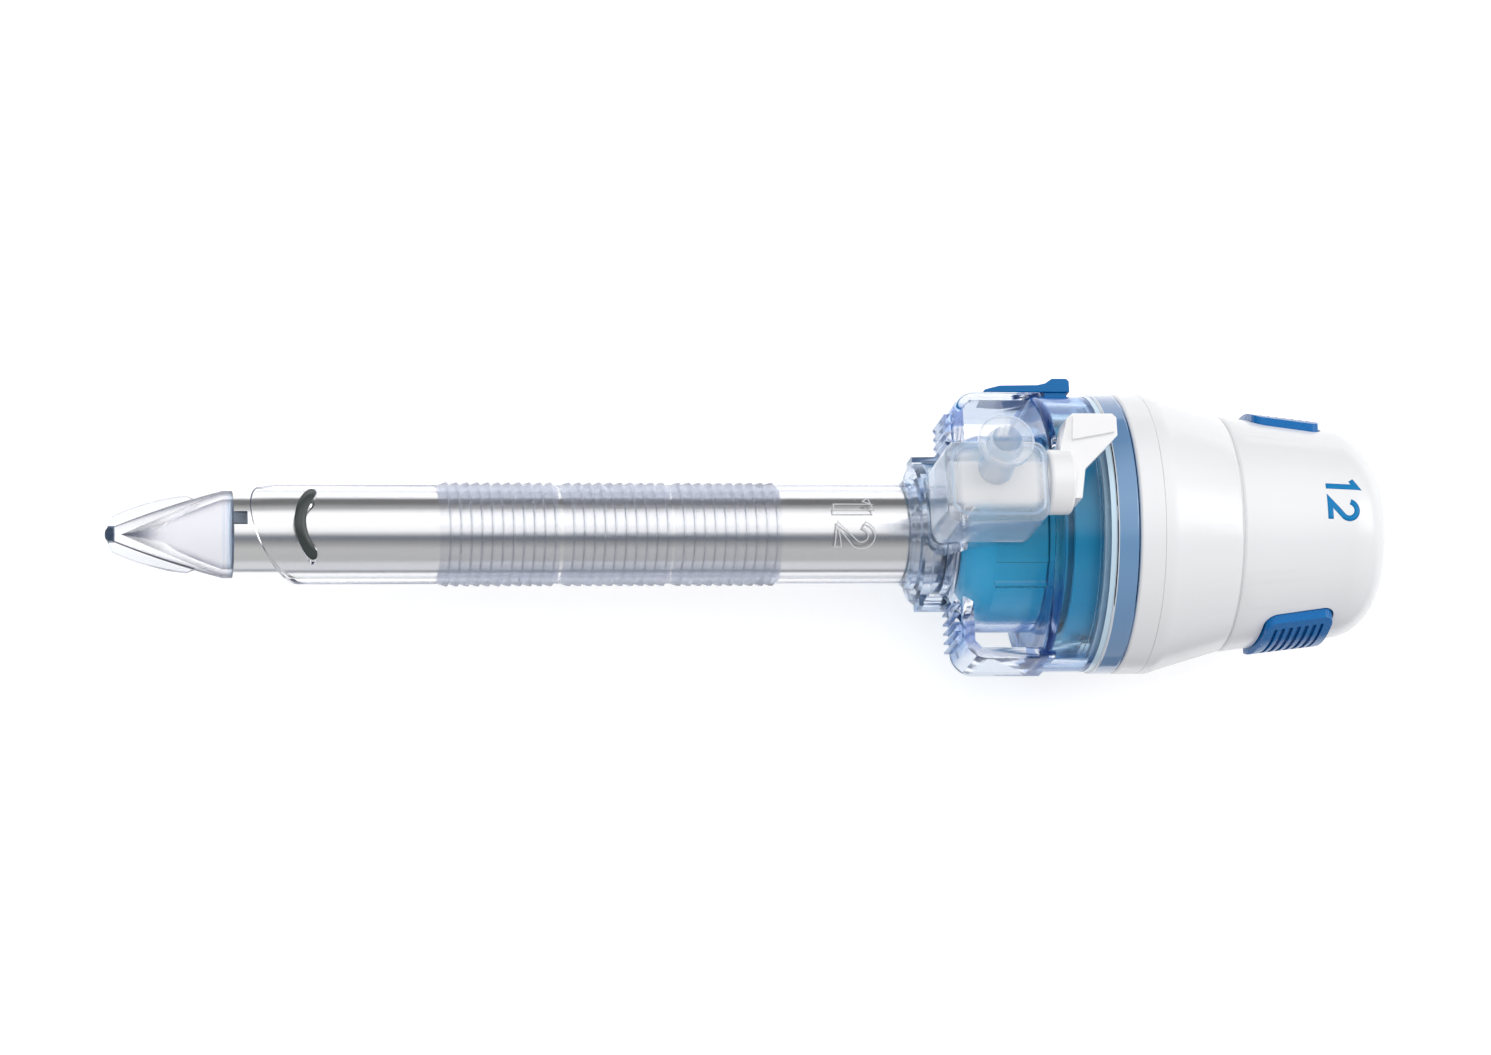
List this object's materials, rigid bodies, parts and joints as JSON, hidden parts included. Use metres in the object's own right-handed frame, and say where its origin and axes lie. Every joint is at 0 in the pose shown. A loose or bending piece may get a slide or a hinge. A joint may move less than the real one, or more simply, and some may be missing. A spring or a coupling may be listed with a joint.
{
  "type": "laparoscopic trocar",
  "caption": "Bladeless optical trocar: ribbed clear cannula with gas tap and finger wings, removable seal unit, and a hollow obturator with side release buttons.",
  "frame": {"origin": "on the long axis, where it crosses the outer face of the housing's nozzle", "axes": "+X along the trocar's axis, from the tip to the handle; +Z towards the side that carries the gas tap; the finger wings and release buttons are at +Y and -Y"},
  "size_m": [0.1887, 0.0441, 0.0603],
  "materials": {
    "clear_sleeve": "clear moulded plastic, polished",
    "clear_housing": "clear moulded plastic with a faint blue tint, polished",
    "tinted_collar": "blue-tinted clear plastic, polished",
    "turquoise_cup": "satin coloured plastic",
    "silicone": "soft translucent silicone",
    "inner_plastic": "matte moulded plastic",
    "frosted_tap": "milky clear plastic",
    "white_lever": "glossy white plastic",
    "blue_latch": "glossy blue plastic",
    "blue_button": "satin blue plastic",
    "white_shell": "satin white plastic",
    "gasket_rubber": "smooth black rubber",
    "clear_tip": "clear moulded plastic, polished",
    "metal_shaft": "satin turned metal",
    "spring_steel": "bright drawn wire"
  },
  "bodies": {
    "cannula": {"cannula_tube": "clear_sleeve", "cannula_housing": "clear_housing", "housing_collar": "tinted_collar", "valve_cup": "turquoise_cup", "duckbill_seal": "silicone", "duckbill_retainer": "inner_plastic", "stopcock_body": "frosted_tap"},
    "stopcock": {"stopcock_lever": "white_lever"},
    "latch": {"latch_ring": "blue_latch"},
    "seal_unit": {"seal_base": "white_shell", "seal_cover": "white_shell", "instrument_seal": "silicone", "seal_shield": "inner_plastic", "seal_clamp_lower": "inner_plastic", "seal_clamp_upper": "inner_plastic", "seal_bellows": "silicone", "base_gasket": "gasket_rubber"},
    "obturator": {"obturator_tip": "clear_tip", "obturator_shaft": "metal_shaft", "handle_base": "inner_plastic", "handle_cap": "white_shell", "button_spring_left": "spring_steel", "button_spring_right": "spring_steel"},
    "button_left": {"release_button_left": "blue_button"},
    "button_right": {"release_button_right": "blue_button"}
  },
  "joints": [
    {"name": "stopcock_turn", "type": "hinge", "parent": "cannula", "child": "stopcock", "pos_m": [0.007, 0.0009, 0.0256], "axis": [1, 0, 0], "range_deg": [0, 90]},
    {"name": "latch_turn", "type": "hinge", "parent": "cannula", "child": "latch", "pos_m": [0.022, 0, 0], "axis": [1, 0, 0], "range_deg": [-28, 0]},
    {"name": "seal_lift", "type": "slide", "parent": "cannula", "child": "seal_unit", "axis": [1, 0, 0], "range_m": [0, 0.03]},
    {"name": "obturator_slide", "type": "slide", "parent": "seal_unit", "child": "obturator", "axis": [1, 0, 0], "range_m": [0, 0.17]},
    {"name": "button_left_press", "type": "slide", "parent": "obturator", "child": "button_left", "axis": [0, -1, 0], "range_m": [0, 0.0015], "stiffness_N_per_m": 1500, "springref_m": -0.001, "deforming": ["button_spring_left"]},
    {"name": "button_right_press", "type": "slide", "parent": "obturator", "child": "button_right", "axis": [0, 1, 0], "range_m": [0, 0.0015], "stiffness_N_per_m": 1500, "springref_m": -0.001, "deforming": ["button_spring_right"]}
  ]
}
